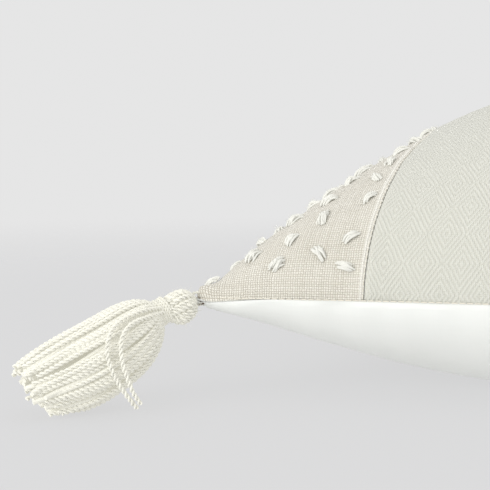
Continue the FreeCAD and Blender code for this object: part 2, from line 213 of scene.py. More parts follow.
def made_by(tree, source, name, **values):
    """Runs a tree on an object and returns the result as a plain mesh object."""
    modifier = source.modifiers.new(name, "NODES")
    modifier.node_group = tree.tree
    for key, value in values.items():
        modifier[tree.sockets[key]] = value
    bpy.context.view_layer.update()
    graph = bpy.context.evaluated_depsgraph_get()
    mesh = bpy.data.meshes.new_from_object(source.evaluated_get(graph), depsgraph=graph)
    mesh.name = name
    bpy.data.objects.remove(source)
    return linked(name, mesh)


def plied_yarn_tree():
    """Curves in, yarn out: round plies that twist about each curve."""
    tree = Tree("plied_yarn", Yarn_Radius=float, Twist_Pitch=float, Ring_Step=float, Plies=int,
                Ply_Offset=float, Ply_Radius=float, Ply_Sides=int, Yarn=bpy.types.Material)
    along = tree.add("GeometryNodeSplineParameter").outputs["Length"]
    turns = tree.maths("DIVIDE", along, tree.given("Twist_Pitch"))
    tilted = tree.add("GeometryNodeSetCurveTilt", Curve=tree.evenly(tree.given("Ring_Step")),
                      Tilt=tree.times(turns, math.tau))
    radius, plies = tree.given("Yarn_Radius"), tree.given("Plies")
    share = tree.maths("DIVIDE", tree.add("GeometryNodeInputIndex").outputs[0], plies)
    around = tree.times(share, math.tau)
    off_axis = tree.times(radius, tree.given("Ply_Offset"))
    spot = tree.vector(X=tree.times(tree.maths("COSINE", around), off_axis),
                       Y=tree.times(tree.maths("SINE", around), off_axis))
    ring = tree.add("GeometryNodePoints", Count=plies, Position=spot)
    ply = tree.add("GeometryNodeCurvePrimitiveCircle", Resolution=tree.given("Ply_Sides"),
                   Radius=tree.times(radius, tree.given("Ply_Radius")))
    profile = tree.add("GeometryNodeInstanceOnPoints", Points=ring.outputs[0], Instance=ply.outputs[0])
    whole = tree.add("GeometryNodeRealizeInstances", Geometry=profile.outputs[0])
    yarn = tree.add("GeometryNodeCurveToMesh", Curve=tilted.outputs[0], Profile_Curve=whole.outputs[0],
                    Scale=tree.add("GeometryNodeInputRadius").outputs[0], Fill_Caps=True)
    return tree.close(yarn.outputs[0], tree.given("Yarn"))


def loose_fibre_tree():
    """A surface in, short loose fibres standing off it out."""
    tree = Tree("loose_fibres", Fibres_Per_Area=float, Fibre_Length=float, Fibre_Radius=float, Seed=int,
                Yarn=bpy.types.Material)
    seed, length = tree.given("Seed"), tree.given("Fibre_Length")
    spots = tree.add("GeometryNodeDistributePointsOnFaces", Mesh=tree.start.outputs[0],
                     Density=tree.given("Fibres_Per_Area"), Seed=seed)
    middle, tip = (tree.vector(X=tree.times(length, sideways), Z=tree.times(length, out))
                   for sideways, out in ((0.12, 0.55), (0.5, 0.8)))
    bend = tree.add("GeometryNodeCurveQuadraticBezier", Resolution=4, Start=(0.0, 0.0, 0.0), Middle=middle,
                    End=tip).outputs[0]
    fibre = tree.rod(bend, tree.given("Fibre_Radius"), 3)
    lean = tree.add("FunctionNodeRandomValue", {"data_type": "FLOAT_VECTOR"}, i0=(-0.9, -0.9, 0.0),
                    i1=(0.9, 0.9, math.tau), Seed=seed).outputs[0]
    spin = tree.add("FunctionNodeEulerToRotation", Euler=lean).outputs[0]
    turned = tree.add("FunctionNodeRotateRotation", {"rotation_space": "LOCAL"},
                      Rotation=spots.outputs["Rotation"], Rotate_By=spin).outputs[0]
    size = tree.add("FunctionNodeRandomValue", {"data_type": "FLOAT"}, i2=0.35, i3=1.0, Seed=seed).outputs[1]
    hairs = tree.add("GeometryNodeInstanceOnPoints", Points=spots.outputs[0], Instance=fibre,
                     Rotation=turned, Scale=size)
    return tree.close(hairs.outputs[0], tree.given("Yarn"))


def along_seam_tree():
    """A curve in, small stitches along it out."""
    tree = Tree("seam_stitches", Stitch_Spacing=float, Stitch_Length=float, Thread_Radius=float,
                Thread=bpy.types.Material)
    tangent = tree.add("GeometryNodeInputTangent").outputs[0]
    facing = tree.add("FunctionNodeAlignRotationToVector", {"axis": "X"}, Vector=tangent).outputs[0]
    half = tree.times(tree.given("Stitch_Length"), 0.5)
    radius = tree.given("Thread_Radius")
    line = tree.add("GeometryNodeCurveQuadraticBezier", Resolution=6, Middle=tree.vector(Z=radius),
                    Start=tree.vector(X=tree.times(half, -1.0)), End=tree.vector(X=half)).outputs[0]
    row = tree.add("GeometryNodeInstanceOnPoints", Points=tree.evenly(tree.given("Stitch_Spacing")),
                   Instance=tree.rod(line, radius, 6), Rotation=facing)
    return tree.close(row.outputs[0], tree.given("Thread"))


# ---------------------------------------------------------------- materials
WEAVE_FUZZ = 2600.0                                     # scale of the fibres in the weaves
FLOOR_BOUNCE = 1.3                                      # the lit table fills the shadows from below


class Finish(Nodes):
    """A cloth, yarn or metal material around one Principled shader."""

    def __init__(self, name, roughness, **sockets):
        self.material = bpy.data.materials.new(name)
        self.material.use_nodes = True
        self.tree = self.material.node_tree
        self.shader = self.tree.nodes["Principled BSDF"]
        self.shader.inputs["Roughness"].default_value = roughness
        for key, value in sockets.items():
            self.shader.inputs[key.replace("_", " ")].default_value = value

    def cloth_axes(self):
        """Flat cloth coordinates in metres."""
        cloth = self.add("ShaderNodeUVMap", {"uv_map": "cloth"}).outputs[0]
        parts = self.add("ShaderNodeSeparateXYZ", Vector=cloth)
        return cloth, parts.outputs[0], parts.outputs[1]

    def object_axes(self):
        return self.add("ShaderNodeTexCoord").outputs["Object"]

    def blur(self, where, scale, detail=2.0, roughness=0.5):
        """A noise value."""
        return self.add("ShaderNodeTexNoise", Vector=where, Scale=scale, Detail=detail,
                        Roughness=roughness).outputs[0]

    def streaks(self, where, *scale):
        """Noise drawn out along one axis."""
        return self.blur(self.add("ShaderNodeMapping", Vector=where, Scale=scale).outputs[0], 1.0, 3.0)

    def mean(self, first, second):
        return self.times(self.plus(first, second), 0.5)

    def mapped(self, value, low, high, to_low=0.0, to_high=1.0, **settings):
        """A value carried from one range to another."""
        return self.add("ShaderNodeMapRange", settings, Value=value, i1=low, i2=high, i3=to_low,
                        i4=to_high).outputs[0]

    def blend(self, share, first, second):
        mix = self.add("ShaderNodeMix", {"data_type": "RGBA"}, i0=share)
        for index, value in ((6, first), (7, second)):
            if isinstance(value, bpy.types.NodeSocket):
                self.tree.links.new(value, mix.inputs[index])
            else:
                mix.inputs[index].default_value = (*value, 1.0)
        return mix.outputs[2]

    def colour(self, value):
        self.tree.links.new(value, self.shader.inputs["Base Color"])

    def bump(self, height, distance, strength=1.0):
        node = self.add("ShaderNodeBump", Height=height, Distance=distance, Strength=strength)
        self.tree.links.new(node.outputs[0], self.shader.inputs["Normal"])


def plain_weave(finish, x, y, pitch):
    """Height of a plain weave, and a random tone for the yarn on top. Both from 0 to 1."""
    places = [finish.maths("DIVIDE", value, pitch) for value in (x, y)]
    waves = [finish.maths("SINE", finish.times(value, math.pi)) for value in places]
    ridges = [finish.maths("ABSOLUTE", wave) for wave in waves]
    warp_up = finish.maths("GREATER_THAN", finish.times(*waves), 0.0)
    tops = (warp_up, finish.maths("SUBTRACT", 1.0, warp_up))
    heights, tones = [], []
    for top, powers, value in zip(tops, ((0.9, 0.35), (0.35, 0.9)), places):
        crest = finish.times(*(finish.maths("POWER", ridge, power) for ridge, power in zip(ridges, powers)))
        heights.append(finish.times(crest, top))
        yarn_number = finish.maths("FLOOR", value)
        tone = finish.add("ShaderNodeTexWhiteNoise", {"noise_dimensions": "1D"}, W=yarn_number).outputs[0]
        tones.append(finish.times(tone, top))
    return finish.plus(*heights), finish.plus(*tones)


def wavered(finish, cloth, value, amount, scale):
    """A coordinate pushed about a little, so that yarns aren't ruled lines."""
    drift = finish.maths("SUBTRACT", finish.blur(cloth, scale, 3.0), 0.5)
    return finish.plus(value, finish.times(drift, amount))


def fuzzy_bump(finish, cloth, height, fuzz, distance):
    finish.bump(finish.plus(height, finish.times(finish.blur(cloth, WEAVE_FUZZ, 2.0), fuzz)), distance)


def linen_finish():
    """Coarse oatmeal plain weave with painted shade in the low places between its yarns, paler in the band of
    close yarns beside the panel seam.
    """
    pitch, wander, band_end, band_start = 1.2 * MM, 0.9 * MM, 2.9 * MM, 2.2 * MM
    # between is painted shade: the darker colour in the low places of the weave, between the yarns.
    dark, light, between, band = (0.56, 0.53, 0.45), (0.76, 0.74, 0.67), (0.44, 0.40, 0.32), (0.82, 0.80, 0.73)
    finish = Finish("linen_weave", 0.88, Sheen_Weight=0.25, Sheen_Roughness=0.5, Specular_IOR_Level=0.25)
    cloth, x, y = finish.cloth_axes()
    height, tone = plain_weave(finish, wavered(finish, cloth, x, wander, 260.0),
                               wavered(finish, cloth, y, wander, 300.0), pitch)
    slubs = finish.mean(finish.streaks(cloth, 900.0, 70.0, 1.0), finish.streaks(cloth, 70.0, 900.0, 1.0))
    yarn = finish.blend(finish.plus(finish.times(tone, 0.45), finish.times(slubs, 0.6)), dark, light)
    # Painted shade: where the weave is low, between the yarns, the colour goes to between.
    woven = finish.blend(finish.mapped(height, 0.0, 0.55), between, yarn)
    from_panel_seam = finish.maths("SUBTRACT", finish.maths("ABSOLUTE", x), PANEL_SEAM * FLAT_HALF)
    beside = finish.mapped(finish.maths("ABSOLUTE", from_panel_seam), band_end, band_start, 0.0, 0.75)
    finish.colour(finish.blend(beside, woven, band))
    fuzzy_bump(finish, cloth, height, 0.5, 0.42 * MM)
    return finish.material


def diamond_finish():
    """Nested diamond twill in off-white yarn, with painted shade where the weave is low."""
    half_wide, half_tall, rings = 8.75 * MM, 14.5 * MM, 4.0
    pitch, wander = 0.9 * MM, 0.8 * MM
    # The ground colour is painted shade: it darkens the twill where it is low, between its raised lines.
    ground_shade, deep, pale = (0.525, 0.52, 0.455), (0.56, 0.56, 0.50), (0.62, 0.62, 0.563)
    finish = Finish("diamond_twill", 0.86, Sheen_Weight=0.25, Sheen_Roughness=0.5, Specular_IOR_Level=0.25)
    cloth, *axes = finish.cloth_axes()
    soft = [wavered(finish, cloth, axis, wander, 180.0) for axis in axes]
    x_share, y_share = (finish.maths("DIVIDE", finish.maths("PINGPONG", axis, half), half)
                        for axis, half in zip(soft, (half_wide, half_tall)))
    line = finish.maths("SINE", finish.times(finish.plus(x_share, y_share), rings * math.tau))
    ridge = finish.plus(finish.times(line, 0.5), 0.5)
    ground, tone = plain_weave(finish, *soft, pitch)
    height = finish.plus(finish.times(ridge, 0.66), finish.times(ground, 0.54))
    yarn = finish.blend(finish.mean(tone, finish.blur(cloth, 420.0, 3.0, 0.6)), deep, pale)
    finish.colour(finish.blend(finish.mapped(height, 0.25, 0.95), ground_shade, yarn))
    fuzzy_bump(finish, cloth, height, 0.35, 0.40 * MM)
    return finish.material


def fine_cotton_finish(name, pale, deep, pitch=0.42 * MM, relief=0.07 * MM):
    """Smooth fine cloth for the back, the lining, the label and the zip's tapes."""
    finish = Finish(name, 0.82, Sheen_Weight=0.15, Specular_IOR_Level=0.25)
    cloth, x, y = finish.cloth_axes()
    height, tone = plain_weave(finish, x, y, pitch)
    finish.colour(finish.blend(finish.mean(tone, finish.blur(cloth, 60.0, 4.0)), deep, pale))
    finish.bump(height, relief)
    return finish.material


def yarn_finish(name, pale, deep, grain=2200.0, glow=0.0):
    """Soft spun yarn: matt, with fine fibre grain. The glow is painted light: an emission that lifts the shaded
    gaps between the strands, and stands for light that seeps through the fibres.
    """
    finish = Finish(name, 0.9, Sheen_Weight=0.4, Sheen_Roughness=0.4, Specular_IOR_Level=0.2,
                    Emission_Strength=glow, Emission_Color=(*pale, 1.0))
    where = finish.object_axes()
    fine = finish.blur(where, grain, 3.0, 0.7)
    finish.colour(finish.blend(finish.mean(fine, finish.blur(where, 90.0, 2.0)), deep, pale))
    finish.bump(fine, 0.25 * MM, 0.8)
    return finish.material


def enamel_finish():
    """Thin white enamel on cast zinc, a little worn."""
    finish = Finish("white_enamel", 0.38, Coat_Weight=0.3, Coat_Roughness=0.25)
    where = finish.object_axes()
    wear = finish.mapped(finish.blur(where, 700.0, 4.0, 0.7), 0.62, 0.75, 0.0, 0.6)
    finish.colour(finish.blend(wear, (0.86, 0.86, 0.84), (0.55, 0.55, 0.54)))
    finish.bump(finish.blur(where, 1500.0, 2.0), 0.03 * MM)
    return finish.material


def nylon_finish():
    finish = Finish("white_nylon", 0.35, Subsurface_Weight=0.1, Subsurface_Radius=(0.002, 0.002, 0.002))
    where = finish.object_axes()
    finish.colour(finish.blend(finish.blur(where, 400.0), (0.84, 0.84, 0.82), (0.90, 0.90, 0.88)))
    finish.bump(finish.blur(where, 3000.0, 2.0), 0.02 * MM)
    return finish.material


def floor_finish():
    """Pale light table, which keeps shadows soft, fading into the surround far from the pillow."""
    fade_start, fade_end, lit_share = 0.4, 1.7, 0.8
    finish = Finish("studio_floor", 0.75, Specular_IOR_Level=0.1)
    where = finish.object_axes()
    finish.colour(finish.blend(finish.blur(where, 1.2, 2.0), (0.53, 0.53, 0.535), (0.55, 0.55, 0.555)))
    reach = finish.add("ShaderNodeVectorMath", {"operation": "LENGTH"}, Vector=where).outputs["Value"]
    fade = finish.mapped(reach, fade_start, fade_end, interpolation_type="SMOOTHSTEP")
    seen = finish.add("ShaderNodeLightPath").outputs["Is Camera Ray"]
    glow = finish.add("ShaderNodeEmission", Color=(0.73, 0.73, 0.735, 1.0),
                      Strength=finish.mapped(seen, 0.0, 1.0, FLOOR_BOUNCE, 1.0))
    table = finish.add("ShaderNodeMixShader", i0=lit_share, i1=finish.shader.outputs[0], i2=glow.outputs[0])
    clear = finish.add("ShaderNodeBsdfTransparent")
    mix = finish.add("ShaderNodeMixShader", i0=fade, i1=table.outputs[0], i2=clear.outputs[0])
    finish.tree.links.new(mix.outputs[0], finish.tree.nodes["Material Output"].inputs[0])
    return finish.material


# ---------------------------------------------------------------- the stuffed form
def form_point(across, along, side):
    """A point of the smooth form. across and along run from -1 to 1. The side is 1, or -1 for the back."""
    dome = np.sqrt(np.maximum((1 - np.abs(across) ** FULLNESS) * (1 - np.abs(along) ** FULLNESS), 0))
    x = across * (HALF - SIDE_PULL * (1 - along ** 2))
    y = along * (HALF - SIDE_PULL * (1 - across ** 2))
    height = SEAM_HEIGHT + (CROWN_RISE if side > 0 else -BELLY_DROP) * dome
    return np.stack([x, y, height], -1)


def lengths_along(points, axis):
    """How far along its own line each point is, from -1 at one seam to 1 at the other."""
    steps = np.linalg.norm(np.diff(points, axis=axis), axis=-1)
    pad = [(0, 0), (0, 0)]
    pad[axis] = (1, 0)
    run = np.pad(np.cumsum(steps, axis=axis), pad)
    total = run[-1:, :] if axis == 0 else run[:, -1:]
    return 2 * run / total - 1


def spline_weights(t):
    """Catmull-Rom weights of the four points around a place."""
    return (0.5 * (-t + 2 * t ** 2 - t ** 3), 0.5 * (2 - 5 * t ** 2 + 3 * t ** 3),
            0.5 * (t + 4 * t ** 2 - 3 * t ** 3), 0.5 * (t ** 3 - t ** 2))


def padded_end(values):
    """The rows of a grid with one more at each end, straight on."""
    return np.concatenate([2 * values[:1] - values[1:2], values, 2 * values[-1:] - values[-2:-1]], 0)


def read_grid(values, first, second):
    """Smooth reading of a square grid over -1 to 1, each way, by Catmull-Rom."""
    count = values.shape[0]
    spots = []
    for share in (first, second):
        spot = np.clip((share + 1) / 2 * (count - 1), 0, count - 1 - 1e-9)
        cell = np.floor(spot).astype(int)
        spots.append((cell, spot - cell))
    padded = padded_end(padded_end(values).swapaxes(0, 1)).swapaxes(0, 1)
    (row, row_part), (column, column_part) = spots
    result = 0
    for i, row_weight in enumerate(spline_weights(row_part)):
        for j, column_weight in enumerate(spline_weights(column_part)):
            value = padded[row + i, column + j]
            weight = row_weight * column_weight
            result = result + value * (weight[..., None] if value.ndim > weight.ndim else weight)
    return result


def even_cloth_grid(side, count):
    """The form on a grid that is even along the cloth itself."""
    dense = np.sin(np.linspace(-1, 1, 241) * math.pi / 2)
    across, along = np.meshgrid(dense, dense, indexing="ij")
    points = form_point(across, along, side)
    across_run, along_run = lengths_along(points, 0), lengths_along(points, 1)
    even = np.linspace(-1, 1, count)
    target_a, target_b = np.meshgrid(even, even, indexing="ij")
    s, t = target_a.copy(), target_b.copy()
    for _ in range(25):
        s = np.clip(s + 0.7 * (target_a - read_grid(across_run, s, t)), -1, 1)
        t = np.clip(t + 0.7 * (target_b - read_grid(along_run, s, t)), -1, 1)
    return form_point(np.sin(s * math.pi / 2), np.sin(t * math.pi / 2), side)


GRID = 85
SETTLE_FRAMES = 18
SWELL_LIMIT = 4 * MM
STUFFING = {"quality": 6, "vertex_group_mass": "seam", "use_pressure": True, "uniform_pressure_force": 4.0,
            "bending_stiffness": 1.5, "tension_stiffness": 25, "compression_stiffness": 25}


def swell(front, back):
    """Blows the two grids up as cloth sewn together along the seam, and returns them settled."""
    count = front.shape[0]
    inside = np.zeros((count, count), bool)
    inside[1:-1, 1:-1] = True
    front_index = np.arange(count * count).reshape(count, count)
    back_index = front_index.copy()
    back_index[inside] = count * count + np.arange(inside.sum())
    points = np.concatenate([front.reshape(-1, 3), back[inside]])
    faces = []
    for i in range(count - 1):
        for j in range(count - 1):
            for index, order in ((front_index, 1), (back_index, -1)):
                quad = [index[i, j], index[i + 1, j], index[i + 1, j + 1], index[i, j + 1]]
                faces.append([int(k) for k in quad[::order]])
    bag = mesh_object("stuffing_form", points, faces)
    bag.vertex_groups.new(name="seam").add([int(k) for k in front_index[~inside]], 1.0, "REPLACE")
    cloth = bag.modifiers.new("cloth", "CLOTH")
    for key, value in STUFFING.items():
        setattr(cloth.settings, key, value)
    cloth.settings.effector_weights.gravity = 0
    cloth.point_cache.frame_start = 1
    cloth.point_cache.frame_end = SETTLE_FRAMES
    for moment in range(1, SETTLE_FRAMES + 1):
        bpy.context.scene.frame_set(moment)
    graph = bpy.context.evaluated_depsgraph_get()
    shift = vertex_places(bag.evaluated_get(graph).to_mesh()) - points
    bpy.data.objects.remove(bag)
    bpy.context.scene.frame_set(1)
    length = np.linalg.norm(shift, axis=1, keepdims=True)
    result = points + shift * np.minimum(1, SWELL_LIMIT / np.maximum(length, 1e-9))
    return result[front_index], result[back_index]


def floor_rest(points):
    """Presses a grid flat where it would go through the floor, with a soft turn into the flat patch."""
    soft = 3 * MM
    height = points[..., 2]
    points[..., 2] = 0.5 * (height + np.sqrt(height ** 2 + soft ** 2)) - 0.05 * soft
    return points


front_grid = even_cloth_grid(1, GRID)
back_grid = even_cloth_grid(-1, GRID)
front_grid, back_grid = swell(front_grid, back_grid)
back_grid = floor_rest(back_grid)


class Side:
    """The front or the back of the stuffed cover, read by flat cloth position from -1 to 1 each way."""

    def __init__(self, grid, sign):
        self.grid = grid
        self.sign = sign

    def at(self, a, b):
        return read_grid(self.grid, a, b)

    def frame_at(self, a, b):
        """Point, and unit vectors along the cloth and out of it."""
        step = 0.004
        low_a, high_a = np.clip(a - step, -1, 1), np.clip(a + step, -1, 1)
        low_b, high_b = np.clip(b - step, -1, 1), np.clip(b + step, -1, 1)
        along_a = self.at(high_a, b) - self.at(low_a, b)
        along_b = self.at(a, high_b) - self.at(a, low_b)
        out = np.cross(along_a, along_b) * self.sign
        lengths = [np.linalg.norm(v, axis=-1, keepdims=True) for v in (along_a, along_b, out)]
        return self.at(a, b), *(v / np.maximum(n, 1e-12) for v, n in zip((along_a, along_b, out), lengths))


FRONT = Side(front_grid, 1)
BACKSIDE = Side(back_grid, -1)


def panel_seam_table():
    """Cloth place of the panel seam, across, at even places along it."""
    along = np.linspace(-1, 1, 61)
    across = np.linspace(0.4, 0.8, 161)
    shares = []
    for b in along:
        line = FRONT.at(across, np.full_like(across, b))
        wanted = PANEL_SEAM_END - PANEL_SEAM_BOW * (1 - (line[:, 1] / HALF) ** 2)
        shares.append(np.interp(0, line[:, 0] - wanted, across))
    return along, np.array(shares)


SEAM_TABLE = panel_seam_table()
PANEL_SEAM = float(SEAM_TABLE[1].mean())


def panel_seam(b):
    """Where the panel seam lies across the cloth, as a share of FLAT_HALF."""
    return np.interp(b, *SEAM_TABLE)


def from_seam(a, b):
    """Flat distance to the nearest edge of the cover."""
    return np.minimum(1 - np.abs(a), 1 - np.abs(b)) * FLAT_HALF


def noise_field(a, b, scale, seed):
    """Smooth noise over the cloth, about -1 to 1."""
    flat = np.stack([a.ravel() * FLAT_HALF * scale, b.ravel() * FLAT_HALF * scale], 1)
    values = [noise.noise(Vector((x, y, seed))) for x, y in flat]
    return np.array(values).reshape(a.shape)


def gathers(a, b, depth, reach, seed):
    """Puckers that stand across the edge seam and die away into the cloth."""
    near_side = (1 - np.abs(b)) < (1 - np.abs(a))
    run = np.where(near_side, a, b) * FLAT_HALF
    away = from_seam(a, b)
    lanes = np.stack([run.ravel() / (17 * MM), away.ravel() / (70 * MM)], 1)
    tag = np.where(near_side, np.sign(b), 3 * np.sign(a)).ravel()
    values = [noise.noise(Vector((x, y, seed + 5.3 * k))) for (x, y), k in zip(lanes, tag)]
    fade = np.exp(-away / reach) * np.clip(away / (3 * MM), 0, 1)
    corner = np.clip((1 - np.maximum(np.abs(a), np.abs(b)) + 1 - np.minimum(np.abs(a), np.abs(b))) * 4, 0, 1)
    return depth * np.array(values).reshape(a.shape) * fade * corner


LINEN = linen_finish()
DIAMOND = diamond_finish()
BACK = fine_cotton_finish("plain_back_cotton", (0.735, 0.745, 0.715), (0.715, 0.725, 0.695))
LINING = fine_cotton_finish("insert_lining", (0.92, 0.92, 0.91), (0.86, 0.86, 0.85), 0.6 * MM)
LABEL = fine_cotton_finish("label_satin", (0.93, 0.93, 0.93), (0.90, 0.90, 0.90), 0.3 * MM, 0.03 * MM)
TAPE = fine_cotton_finish("zip_tape_weave", (0.90, 0.90, 0.89), (0.84, 0.84, 0.83), 0.5 * MM)
# The tassel and tuft yarns glow: painted light that lifts the shade between their strands.
TASSEL = yarn_finish("tassel_yarn", (0.575, 0.567, 0.505), (0.53, 0.518, 0.457), glow=0.44)
TUFT = yarn_finish("tuft_yarn", (0.595, 0.592, 0.55), (0.54, 0.535, 0.49), glow=0.30)
FILLING = yarn_finish("fibre_filling", (0.95, 0.95, 0.95), (0.85, 0.85, 0.85), 500.0)
THREAD = yarn_finish("seam_thread", (0.74, 0.71, 0.62), (0.62, 0.58, 0.49))
DARK_THREAD = yarn_finish("dark_thread", (0.16, 0.10, 0.06), (0.07, 0.04, 0.03))
ENAMEL = enamel_finish()
NYLON = nylon_finish()


# ---------------------------------------------------------------- tuft places
def random_share(*keys):
    """A fixed pseudo-random number from 0 to 1."""
    value = math.sin(sum((index + 1) * 12.9898 * key for index, key in enumerate(keys)) + 4.1) * 43758.5453
    return value - math.floor(value)


def tuft_places(side):
    """Flat place, direction and length of each tuft on one end panel."""
    places = []
    for column in range(TUFT_COLUMNS):
        for row in range(TUFT_ROWS):
            jitter = [random_share(side, column, row, k) - 0.5 for k in range(4)]
            b = -0.965 + 1.93 * (row + 0.25 + 0.5 * (column % 2) + 0.35 * jitter[1]) / TUFT_ROWS
            inner = float(panel_seam(b))
            a = inner + (1 - inner) * (column + 0.45 + 0.4 * jitter[0]) / (TUFT_COLUMNS + 0.1)
            lean = math.radians(75 + 170 * jitter[2])
            length = (8.0 + 3.0 * jitter[3]) * MM
            places.append((side * a, b, lean, length))
    return places


TUFTS = {side: tuft_places(side) for side in (-1, 1)}


DIMPLE_DEPTH = 0.9 * MM
DIMPLE_RADIUS = 2.2 * MM


def tuft_dimples(a, b):
    """The cloth is drawn in at both ends of each tuft."""
    depth = np.zeros_like(a)
    for side, places in TUFTS.items():
        for tuft_a, tuft_b, lean, length in places:
            for end in (-0.55, 0.55):
                end_a = tuft_a * FLAT_HALF + end * length * math.cos(lean)
                end_b = tuft_b * FLAT_HALF + end * length * math.sin(lean)
                gap = (a * FLAT_HALF - end_a) ** 2 + (b * FLAT_HALF - end_b) ** 2
                depth -= DIMPLE_DEPTH * np.exp(-gap / DIMPLE_RADIUS ** 2)
    return depth


# ---------------------------------------------------------------- cover panels
def spread(low, high, width, step, edges):
    """Even places from low to high with extra ones close to both ends. Width, step and edges are in metres."""
    middle = np.linspace(low, high, max(2, round(width / step)) + 1)
    extra = np.array(edges) / width * (high - low)
    return np.unique(np.round(np.concatenate([middle, low + extra, high - extra]), 6))


SEAM_STEPS = (0.35 * MM, 0.8 * MM, 1.4 * MM, 2.2 * MM, 3.3 * MM)


ZIP_END_CLOSED = 6 * MM                                 # the lips are shut over the ends of the tapes
LIP_LIFT = 1.8 * MM


def zip_opening(points, side):
    """Parts the two lips of the far edge, over the zip's own length."""
    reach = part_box("zip_tape_front")[1].x - ZIP_END_CLOSED
    far = points[..., 1] > HALF - SIDE_PULL - 2 * MM
    sideways = np.clip((reach - np.abs(points[..., 0])) / (10 * MM), 0, 1)
    close = np.exp(-np.abs(points[..., 2] - SEAM_HEIGHT) / (2.5 * MM))
    points[..., 2] += side * LIP_LIFT * sideways * close * far
    return points


def cloth_panel(name, side, spans, b_places, relief, material):
    """A closed shell of cloth over part of one side. Spans run from 0 to 1 between its limits across."""
    low, high, a_places = spans
    share, b = np.meshgrid(a_places, b_places, indexing="ij")
    a = low(b) + (high(b) - low(b)) * share
    outside, _, _, out = cloth_point(side, a, b, relief)
    outside = zip_opening(outside, side.sign)
    inside = outside - out * CLOTH
    rows, columns = a.shape
    index = np.arange(rows * columns).reshape(rows, columns)
    quads = grid_quads(index)
    if side.sign < 0:
        quads = quads[:, ::-1]
    back_quads = quads[:, ::-1] + rows * columns
    rim = np.concatenate([index[:-1, 0], index[-1, :-1], index[:0:-1, -1], index[0, :0:-1]])
    after = np.roll(rim, -1)
    walls = np.stack([rim, rim + rows * columns, after + rows * columns, after], -1)
    if side.sign > 0:
        walls = walls[:, ::-1]
    faces = np.concatenate([quads, back_quads, walls]).tolist()
    panel = mesh_object(name, np.concatenate([outside.reshape(-1, 3), inside.reshape(-1, 3)]), faces, material)
    straight = a + np.sign(a) * np.minimum(np.abs(a) / PANEL_SEAM, 1) * (PANEL_SEAM - panel_seam(b))
    flat = np.stack([(straight if side.sign > 0 else a) * FLAT_HALF, b * FLAT_HALF], -1).reshape(-1, 2)
    add_cloth_axes(panel, np.concatenate([flat, flat]))
    return panel


def shaped_corner(points):
    """Blunts each corner, where the cloth turns in to the tassel, lets it droop, and leans its end outwards."""
    diagonal = (np.abs(points[..., 0]) + np.abs(points[..., 1])) / math.sqrt(2)
    tip = HALF * math.sqrt(2)
    away = np.maximum(tip - diagonal, 0)
    above = np.maximum(points[..., 2] - SEAM_HEIGHT, 0)
    fuller = CORNER_FULLNESS * np.exp(-away / CORNER_FULL_REACH) * above
    droop = CORNER_DROOP * np.exp(-(away / CORNER_DROOP_REACH) ** 2)
    lean = CORNER_LEAN * (above + fuller) * np.exp(-(away / CORNER_LEAN_REACH) ** 2)
    back = (np.maximum(diagonal - (tip - BLUNT_START), 0) * BLUNT_SHARE - lean) / math.sqrt(2)
    shift = np.stack([-np.sign(points[..., 0]) * back, -np.sign(points[..., 1]) * back, fuller - droop], -1)
    return points + shift


def cloth_point(side, a, b, relief):
    """Points of the finished outside of the cloth, and the way out of it."""
    point, along_a, along_b, out = side.frame_at(a, b)
    return shaped_corner(point + out * relief(a, b)[..., None]), along_a, along_b, out


def rolled(distance, depth, width):
    """How far cloth turns in as it reaches a seam."""
    return -depth * np.exp(-distance / width)


def front_relief(a, b):
    """Everything that makes the front uneven, in metres out of the cloth."""
    edge = from_seam(a, b)
    panel_edge = np.abs(np.abs(a) - panel_seam(b)) * FLAT_HALF
    height = rolled(edge, 0.9 * MM, 1.1 * MM) + rolled(panel_edge, 1.3 * MM, 0.9 * MM)
    height += 0.35 * MM * np.exp(-((panel_edge - 2.6 * MM) / (1.6 * MM)) ** 2)
    height += gathers(a, b, 1.0 * MM, 16 * MM, 1.7)
    height += 0.9 * MM * noise_field(a, b, 18, 2.2) + 0.25 * MM * noise_field(a, b, 70, 6.1)
    ripple = noise_field(np.full_like(a, 0.3), b, 95, 9.4)
    height += 0.5 * MM * ripple * np.exp(-panel_edge / (6 * MM))
    return height


def linen_relief(a, b):
    return front_relief(a, b) + tuft_dimples(a, b)


def back_relief(a, b):
    edge = from_seam(a, b)
    height = rolled(edge, 0.8 * MM, 1.0 * MM) + gathers(a, b, 2.6 * MM, 20 * MM, 4.4)
    lifted = np.clip(BACKSIDE.at(a, b)[..., 2] / (12 * MM), 0, 1)
    return (height + 0.8 * MM * noise_field(a, b, 22, 7.7)) * lifted


def build_cover():
    gap = 0.12 * MM / FLAT_HALF
    whole = 2 * FLAT_HALF
    from_left, to_right = (lambda b: 0 * b - 1), (lambda b: 0 * b + 1)
    # name, side, limits across, width, step, relief, material, slot and node
    panels = (
        ("front_centre_cloth", FRONT, lambda b: gap - panel_seam(b), lambda b: panel_seam(b) - gap,
         whole * PANEL_SEAM, 2.6 * MM, front_relief, DIAMOND, "diamond_cloth", "front_centre_panel"),
        ("front_left_cloth", FRONT, from_left, lambda b: -panel_seam(b) - gap,
         FLAT_HALF * (1 - PANEL_SEAM), 2.0 * MM, linen_relief, LINEN, "linen_cloth", "front_left_panel"),
        ("front_right_cloth", FRONT, lambda b: panel_seam(b) + gap, to_right,
         FLAT_HALF * (1 - PANEL_SEAM), 2.0 * MM, linen_relief, LINEN, "linen_cloth", "front_right_panel"),
        ("back_cloth", BACKSIDE, from_left, to_right,
         whole, 3.2 * MM, back_relief, BACK, "back_cloth", "back_panel"))
    for name, side, low, high, width, step, relief, material, slot, node in panels:
        spans = (low, high, spread(0, 1, width, step, SEAM_STEPS))
        panel = cloth_panel(name, side, spans, spread(-1, 1, whole, step, SEAM_STEPS), relief, material)
        place(panel, "pillow", slot, node)


OPENING_REACH = 16 * MM                                 # the insert is full from this far inside the seam


